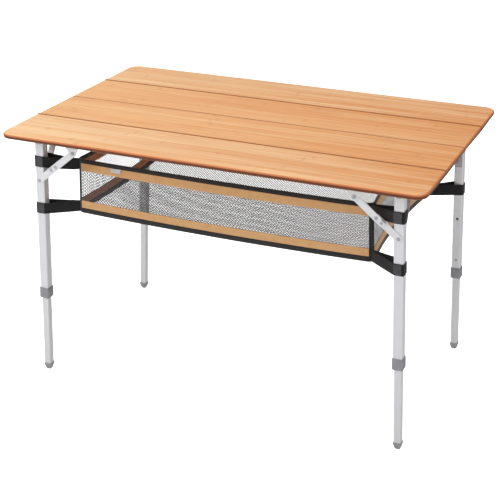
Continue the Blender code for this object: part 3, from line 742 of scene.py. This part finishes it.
def bar(length):
    """Flat bar with round ends along X, from its first pivot to its second, softly bevelled."""
    outline = arc((length, 0), LINK_HALF, -90, 90, 20) + arc((0, 0), LINK_HALF, 90, 270, 20)
    return bevelled(prism(outline, 0, LINK_THICKNESS, "XZ"), 0.0005, 3)


def add_link(level, plate, rivets, metal, rivet_metal, place):
    for bm, kind, paint in ((plate, "bar", metal), (rivets, "rivets", rivet_metal)):
        name, node = f"brace_{level}_{kind}", f"brace_{level}_link"
        add_at_corners(bm, name, paint, node, place=place)


def add_braces(metal, rivet_metal):
    """Two-bar braces: the lower bar's pin runs through the leg, the upper bar's turns in its
    bracket."""
    half = (BRACE_HEAD - BRACE_FOOT).length / 2
    low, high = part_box("brace_lower_link_rr")
    face = PIVOT.y + OUTER_WIDTH / 2 + LINK_GAP
    inner = low.y - face
    rivets = merged(
        prism(disc((0, 0), RIVET_SHANK), inner, LINK_THICKNESS / 2, "XZ"),
        dome((0, 0), RIVET_HEAD, -0.0012, inner + 0.0012),
        dome((0, 0), RIVET_HEAD, high.y - face - LINK_THICKNESS, LINK_THICKNESS),
    )
    place = bar_frame(BRACE_FOOT, BRACE_HEAD, face)
    add_link("lower", bar(half), rivets, metal, rivet_metal, place)

    low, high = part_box("brace_upper_link_rr")
    depth = high.y - low.y
    lock = half + LOCK_OFFSET
    side = LINK_HALF - TAB_HALF_HEIGHT
    tab = []
    for sx, sz in ((-1, -1), (1, -1), (1, 1), (-1, 1)):
        tab.append((lock + sx * TAB_HALF_LENGTH, side + sz * TAB_HALF_HEIGHT))
    bar_and_tab = merged(
        bar(half + 0.016),
        bevelled(prism(tab, 0, LINK_THICKNESS + TAB_STANDS, "XZ"), 0.0006, 3),
    )
    rivets = merged(
        prism(disc((0, 0), RIVET_SHANK), LINK_THICKNESS / 2, depth - LINK_GAP, "XZ"),
        dome((0, 0), RIVET_HEAD, 0.0012, depth - 0.0012),
        dome((half, 0), RIVET_HEAD, 0.0011, LINK_THICKNESS - 0.0002),
        dome((lock, 0), LOCK_RIVET, 0.0011, LINK_THICKNESS - 0.0002),
    )
    place = bar_frame(BRACE_HEAD, BRACE_FOOT, low.y)
    add_link("upper", bar_and_tab, rivets, metal, rivet_metal, place)


# ---------------------------------------------------------------- basket
RIM_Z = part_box("basket")[1].z
FLOOR_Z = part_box("basket")[0].z
HALF_LOW = size_of("basket").x / 2
HALF_TOP = HALF_LOW - (RIM_Z - FLOOR_Z) * math.tan(SPLAY)
HALF_WIDTH = size_of("basket").y / 2
BASKET_CORNER = 0.015
LONG_STEPS, SHORT_STEPS, BEND_STEPS = 40, 26, 8
RIM_SAG = 0.004
FLOOR_SAG = 0.005
FLOOR_DIP = 0.004
BULGE = 0.0035
RIM_PULL = 0.003
RIGHT_END_PULL = 0.014
LEFT_END_PULL = 0.004
BINDING, LOW_BINDING = 0.011, 0.013
BAND, LOW_BAND = 0.019, 0.018
MESH_THICKNESS, BAND_THICKNESS, BINDING_THICKNESS = 0.0007, 0.0020, 0.0034


def height_share(z):
    """0 at the basket's floor and 1 at its rim."""
    return (z - FLOOR_Z) / (RIM_Z - FLOOR_Z)


def half_length(z):
    """Half of the basket's length at the height z. It narrows upwards with the legs."""
    return HALF_LOW + height_share(z) * (HALF_TOP - HALF_LOW)


def basket_stations():
    """Stations round the basket, from its front left corner: straight-side shares, the outward
    heading, how slack the wall is there, and how far the straps' pull on the corners draws it
    in."""
    stations = []
    sides = (
        (0, -1, LONG_STEPS, 1.0, 0.0),
        (1, 0, SHORT_STEPS, 0.6, RIGHT_END_PULL),
        (0, 1, LONG_STEPS, 1.0, 0.0),
        (-1, 0, SHORT_STEPS, 0.6, LEFT_END_PULL),
    )
    for nx, ny, steps, slack, pull in sides:
        for i in range(steps):
            f = -1 + 2 * i / steps
            along = Vector((-ny * f if nx == 0 else nx, nx * f if ny == 0 else ny))
            stations.append((along, Vector((nx, ny)), slack * (1 - f * f), pull * (1 - f * f)))
        start = math.atan2(ny, nx)
        corner = Vector((-ny if nx == 0 else nx, nx if ny == 0 else ny))
        for i in range(BEND_STEPS):
            turn = start + math.pi / 2 * i / BEND_STEPS
            stations.append((corner, Vector((math.cos(turn), math.sin(turn))), 0.0, 0.0))
    return stations


def basket_point(station, z, out):
    """A point of the wall at the unsagged height z, out from its middle surface."""
    along, normal, slack, pull = station
    h = height_share(z)
    x = along.x * (half_length(z) - BASKET_CORNER) + normal.x * BASKET_CORNER
    y = along.y * (HALF_WIDTH - BASKET_CORNER) + normal.y * BASKET_CORNER
    ripple = noise.noise(Vector((x * 11, y * 11, h * 2.5))) * 0.0016 * min(1.0, slack * 2)
    bulge = BULGE * math.sin(math.pi * min(max(h, 0), 1))
    bow = slack * (bulge - RIM_PULL * h) + ripple - 0.001 - pull
    sag = slack * (FLOOR_SAG + h * (RIM_SAG - FLOOR_SAG))
    return Vector((x + normal.x * (out + bow), y + normal.y * (out + bow), z - sag + ripple * 0.6))


def strip_profile(z_low, z_high, thickness, rounding, levels):
    """Closed cross-section of a tape: (height, out) points, rounded at its two edges."""
    points = []
    half = thickness / 2
    span = z_high - z_low - 2 * rounding
    over, under = z_high - rounding * 0.3, z_low + rounding * 0.3
    for i in range(levels + 1):
        points.append((z_low + rounding + span * i / levels, half))
    points += [(over, half * 0.7), (z_high, 0), (over, -half * 0.7)]
    for i in range(levels + 1):
        points.append((z_high - rounding - span * i / levels, -half))
    points += [(under, -half * 0.7), (z_low, 0), (under, half * 0.7)]
    return points


def basket_loop(profile, stations):
    """A tape or wall round the basket. Its UVs give both faces the same v at the same height."""
    rings = [[basket_point(station, z, out) for z, out in profile] for station in stations]
    return loft(rings, wrap=True, v=[z for z, _ in profile])


def floor_height(x, y):
    """Height of the floor, which hangs from the bottom edge and dips a little in the middle."""
    fx = min(1.0, abs(x) / (HALF_LOW - BASKET_CORNER))
    fy = min(1.0, abs(y) / (HALF_WIDTH - BASKET_CORNER))
    edge = FLOOR_SAG * max((1 - fx * fx) * fy**4, 0.6 * (1 - fy * fy) * fx**4)
    middle = (FLOOR_SAG + FLOOR_DIP) * (1 - fx**4) * (1 - fy**4)
    ripple = noise.noise(Vector((x * 9, y * 9, 3.0))) * 0.0018 * (1 - fx**4) * (1 - fy**4)
    return FLOOR_Z + 0.0035 - max(edge, middle) + ripple


def basket_floor(stations):
    """Floor sheet as rings from the middle out, under side first."""
    shares = [0.04 + 0.955 * (i / 22) for i in range(23)]
    rims = [basket_point(s, FLOOR_Z, -0.0012) for s in stations]
    rings = []
    for side, order in ((-1, shares), (1, shares[::-1])):
        for share in order:
            ring = []
            for rim in rims:
                x, y = rim.x * share, rim.y * share
                ring.append((x, y, floor_height(x, y) + side * 0.0003))
            rings.append(ring)
    return loft(rings, flat=True)


CORNER_TAPE_SPREAD = math.radians(23)


def corner_binding(z_low, z_high, sx, sy):
    """Tape sewn up one corner of the basket, outside."""
    middle = math.atan2(sy, sx)
    rings = []
    for i in range(13):
        z = z_low + (z_high - z_low) * i / 12
        ring = []
        for out, turns in ((0.0022, (-1, -0.5, 0, 0.5, 1)), (0.0004, (1, 0.5, 0, -0.5, -1))):
            for share in turns:
                turn = middle + CORNER_TAPE_SPREAD * share
                station = (Vector((sx, sy)), Vector((math.cos(turn), math.sin(turn))), 0.0, 0.0)
                ring.append(basket_point(station, z, out))
        rings.append(ring)
    return loft(rings)


def add_basket(mesh_paint, floor_paint, band_paint, binding_paint, tag_paint):
    """Mesh walls and floor, two tan bands, and black bindings at the rim, the bottom and the
    corners."""
    stations = basket_stations()
    pieces = {}

    def add(name, bm, paint, nodes=()):
        pieces[name] = add_piece(
            to_mesh(bm, name), name, paint, "centre_panel", nodes, smooth_angle=60
        )

    low, high = FLOOR_Z + LOW_BINDING * 0.6, RIM_Z - BINDING * 0.6
    walls = strip_profile(low, high, MESH_THICKNESS, 0.0005, 14)
    add("basket_walls", basket_loop(walls, stations), mesh_paint, ["basket"])
    add("basket_floor_mesh", basket_floor(stations), floor_paint)
    in_hem, in_rim = FLOOR_Z + LOW_BINDING * 0.5, RIM_Z - BINDING * 0.5
    for name, low, high in (
        ("basket_band_top", RIM_Z - BINDING - BAND, in_rim),
        ("basket_band_bottom", in_hem, FLOOR_Z + LOW_BINDING + LOW_BAND),
    ):
        band = strip_profile(low, high, BAND_THICKNESS, 0.0006, 4)
        add(name, basket_loop(band, stations), band_paint)
    for name, low, high in (
        ("basket_rim_binding", RIM_Z - BINDING, RIM_Z),
        ("basket_bottom_binding", FLOOR_Z - 0.0005, FLOOR_Z + LOW_BINDING),
    ):
        tape = strip_profile(low, high, BINDING_THICKNESS, 0.0014, 3)
        add(name, basket_loop(tape, stations), binding_paint)
    for label, sx, sy in CORNERS:
        taped = corner_binding(in_hem, in_rim, sx, sy)
        add(f"basket_corner_binding_{label}", taped, binding_paint)
    add("basket_tag", tag(), tag_paint)
    return pieces


TAG_X = -0.259
TAG_SIZE = (0.026, 0.010)


def tag():
    """Small plain folded tag under the front rim binding."""
    width, drop = TAG_SIZE
    half = HALF_TOP - BASKET_CORNER
    share = TAG_X / half
    face = [(dx, 0) for dx in (-0.5, -0.17, 0.17, 0.5)]
    outline = face + [(dx, -0.001) for dx, _ in reversed(face)]
    rings = []
    for i in range(7):
        z = RIM_Z - BINDING * 0.95 - drop * i / 6
        lift = 0.0024 + 0.0012 * math.sin(math.pi * i / 6)
        ring = []
        for dx, out in outline:
            along = Vector((share + dx * width / half, -1))
            station = (along, Vector((0, -1)), 1 - share * share, 0.0)
            ring.append(basket_point(station, z, lift + out))
        rings.append(ring)
    return loft(rings)


# ---------------------------------------------------------------- straps
STRAP_WIDTH = 0.027
STRAP_THICKNESS = 0.0015


def strap_path(z, steps=120):
    """Closed plan of a strap at the +X +Y corner: round the leg and to a nose at the basket's
    corner, as evenly spaced (point, outward normal) pairs."""
    width = OUTER_WIDTH + TUBE_FIT + STRAP_THICKNESS
    leg = rounded_rectangle(width, width, 0.0036, 8, (leg_x(z), PIVOT.y))
    reach = BASKET_CORNER * math.sqrt(0.5) + 0.0012
    nose = (half_length(z) - BASKET_CORNER + reach, HALF_WIDTH - BASKET_CORNER + reach)
    points = leg + disc(nose, 0.0011, 16)
    hull = [Vector(points[i]) for i in geometry.convex_hull_2d(points)]
    lengths = [0.0]
    for a, b in zip(hull, hull[1:] + hull[:1]):
        lengths.append(lengths[-1] + (b - a).length)
    path = []
    for i in range(steps):
        want = lengths[-1] * i / steps
        k = max(j for j in range(len(hull)) if lengths[j] <= want)
        share = (want - lengths[k]) / max(lengths[k + 1] - lengths[k], 1e-9)
        path.append(hull[k].lerp(hull[(k + 1) % len(hull)], share))
    placed = []
    for i, point in enumerate(path):
        run = (path[(i + 1) % steps] - path[i - 1]).normalized()
        placed.append((point, Vector((run.y, -run.x))))
    middle = sum((p for p, _ in placed), Vector((0, 0))) / steps
    if (placed[0][0] - middle).dot(placed[0][1]) < 0:
        placed = [(p, -n) for p, n in placed]
    return placed


def strap_ring(point, normal, z, dip, profile, out):
    """Cross-section of a strap at one place of its path. It leans with the leg near the leg, and
    sinks by dip on its way to the basket."""
    leg_face = leg_x(z) - OUTER_WIDTH / 2
    away = max(0.0, leg_face - point.x)
    near = max(0.0, 1 - away / 0.03)
    sunk = dip * min(1.0, away / (leg_face - HALF_LOW)) ** 0.8
    ring = []
    for height, depth in profile:
        at = point + normal * (depth + out)
        ring.append((at.x - height * math.tan(SPLAY) * near, at.y, z + height - sunk))
    return ring


def strap(z, dip):
    profile = strip_profile(-STRAP_WIDTH / 2, STRAP_WIDTH / 2, STRAP_THICKNESS, 0.0006, 6)
    return loft([strap_ring(p, n, z, dip, profile, 0.0) for p, n in strap_path(z)], wrap=True)


PATCH_MARGIN = 0.0015
PATCH_THICKNESS = 0.0016


def strap_patch(z, dip, reach):
    """Hook-and-loop patch on the strap's outer face, over the leg and by reach towards the
    basket."""
    left = leg_x(z) - OUTER_WIDTH / 2 - reach
    right = leg_x(z) + OUTER_WIDTH / 2 - 0.003
    outer = [(p, n) for p, n in strap_path(z) if n.y > 0.9 and left <= p.x <= right]
    outer.sort(key=lambda pair: pair[0].x)
    half = STRAP_WIDTH / 2 - PATCH_MARGIN
    profile = strip_profile(-half, half, PATCH_THICKNESS, 0.0005, 4)
    lift = STRAP_THICKNESS / 2 + 0.0007
    return loft([strap_ring(p, n, z, dip, profile, lift) for p, n in outer])


def add_straps(webbing, hook_and_loop):
    """Two straps at each corner. The upper one dips more, the lower one's patch reaches further."""
    made = []
    for level, dip, reach in (("upper", 0.012, 0.004), ("lower", 0.002, 0.013)):
        low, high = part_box(f"strap_{level}_rr")
        z = (low.z + high.z) / 2
        for name, bm, paint, node in (
            (f"webbing_{level}", strap(z, dip), webbing, f"strap_{level}"),
            (f"strap_patch_{level}", strap_patch(z, dip, reach), hook_and_loop, None),
        ):
            pieces = add_at_corners(
                bm, name, paint, node, "centre_panel", smooth_angle=50
            )
            made += pieces.values()
    return made


# ---------------------------------------------------------------- floor, light and camera
WORLD_STRENGTH = 0.58
KEY_POWER = 68
TOP_POWER = 20
FILL_POWER = 22
FLOOR_HALF = 30.0
WHITE = (1.0, 1.0, 1.0, 1.0)


def add_area_light(name, place, target, size, power):
    lamp = bpy.data.lights.new(name, "AREA")
    lamp.shape = "SQUARE"
    lamp.size = size
    lamp.energy = power
    light = bpy.data.objects.new(name, lamp)
    light.location = place
    light.rotation_euler = (Vector(target) - Vector(place)).to_track_quat("-Z", "Y").to_euler()
    bpy.context.scene.collection.objects.link(light)


def add_studio():
    """Pale floor and world that look white to the camera but light the table less, and three
    soft lights."""
    bm = bmesh.new()
    corners = ((-1, -1), (1, -1), (1, 1), (-1, 1))
    bm.faces.new([bm.verts.new((sx * FLOOR_HALF, sy * FLOOR_HALF, 0)) for sx, sy in corners])
    floor = bpy.data.objects.new("studio_floor", to_mesh(bm, "studio_floor"))
    s = Shader("studio_floor", roughness=0.9, specular=0.0)
    seen = s.node("LightPath").outputs["Is Camera Ray"]
    s.set("Base Color", (0.74, 0.74, 0.74, 1.0))
    s.set("Emission Color", WHITE)
    s.set("Emission Strength", seen)
    floor.data.materials.append(s.material)
    bpy.context.scene.collection.objects.link(floor)

    world = bpy.data.worlds.new("studio")
    world.use_nodes = True
    tree = world.node_tree
    background = tree.nodes["Background"]
    strength = tree.nodes.new("ShaderNodeMapRange")
    strength.inputs["To Min"].default_value = WORLD_STRENGTH
    path = tree.nodes.new("ShaderNodeLightPath")
    tree.links.new(path.outputs["Is Camera Ray"], strength.inputs["Value"])
    background.inputs["Color"].default_value = WHITE
    tree.links.new(strength.outputs["Result"], background.inputs["Strength"])
    bpy.context.scene.world = world

    add_area_light("key", (-1.6, -2.8, 2.2), (0, 0, 0.35), 1.6, KEY_POWER)
    add_area_light("top", (-0.6, 0.3, 3.0), (0, 0, 0.6), 2.4, TOP_POWER)
    add_area_light("fill", (2.7, -1.5, 1.2), (0.2, 0, 0.3), 1.8, FILL_POWER)


def add_camera():
    lens = bpy.data.cameras.new("camera")
    lens.lens = 84.04
    lens.sensor_width = 36
    camera = bpy.data.objects.new("camera", lens)
    camera.location = (1.0294, -2.4220, 1.4818)
    camera.rotation_euler = (math.radians(65.903), 0, math.radians(23.310))
    bpy.context.scene.collection.objects.link(camera)
    bpy.context.scene.camera = camera


# ---------------------------------------------------------------- the whole scene
def repaint(prefix, paint):
    """Gives a better material to the CAD nodes of one kind, which still show."""
    for name, node in frame["nodes"].items():
        if name.startswith(prefix) and not node.hide_render:
            node.data.materials.clear()
            node.data.materials.append(paint)


def build():
    add_camera()
    add_studio()
    aluminium = brushed_metal("anodised_aluminium", srgb(224, 225, 228), 0.43, "Z", 0.6)
    bar_metal = brushed_metal("brace_aluminium_satin", srgb(226, 227, 230), 0.40, "X", 0.6)
    steel = brushed_metal("zinc_steel", srgb(178, 179, 184), 0.36, "Y", 0.75)
    bronze = brushed_metal("brown_hinge", srgb(164, 104, 60), 0.5, "X", 0.3)
    add_boards()
    add_legs(
        aluminium,
        plastic("collar_moulding", srgb(128, 128, 132), 0.55, srgb(150, 150, 153)),
        plastic("foot_moulding", srgb(140, 140, 141), 0.6, srgb(165, 165, 165)),
    )
    add_buttons(steel)
    add_braces(bar_metal, steel)
    repaint("hinge_", bronze)
    repaint("brace_bracket", bar_metal)
    for prefix in ("head_bracket", "side_strut"):
        repaint(prefix, steel)

    grey_mesh = srgb(84, 84, 87), srgb(70, 70, 73)
    tan = srgb(216, 172, 122), srgb(180, 134, 86)
    basket_pieces = add_basket(
        mesh_fabric("wall_mesh", *grey_mesh, open_share=0.47),
        mesh_fabric("floor_mesh", *grey_mesh, open_share=0.45),
        # the tan band's inner faces get a reddish-brown painted shade
        woven("tan_band", *tan, 0.0016, inside_painted_shade=srgb(172, 104, 62), ribs=True),
        woven("binding_tape", srgb(44, 43, 44), srgb(19, 18, 19), 0.0012),
        plastic("plain_tag", srgb(176, 176, 178), 0.6, srgb(200, 200, 200)),
    )
    strap_pieces = add_straps(
        woven("strap_webbing", srgb(38, 38, 40), srgb(14, 14, 15), 0.0015, ribs=True, sheen=0.1),
        woven("hook_and_loop", srgb(84, 84, 87), srgb(48, 48, 50), 0.0009, sheen=0.2),
    )
    for piece in [*basket_pieces.values(), *strap_pieces]:
        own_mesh(piece)

    walls = basket_pieces.pop("basket_walls")
    floor = basket_pieces.pop("basket_floor_mesh")


build()
bpy.context.scene.view_settings.view_transform = "Standard"
bpy.context.view_layer.update()
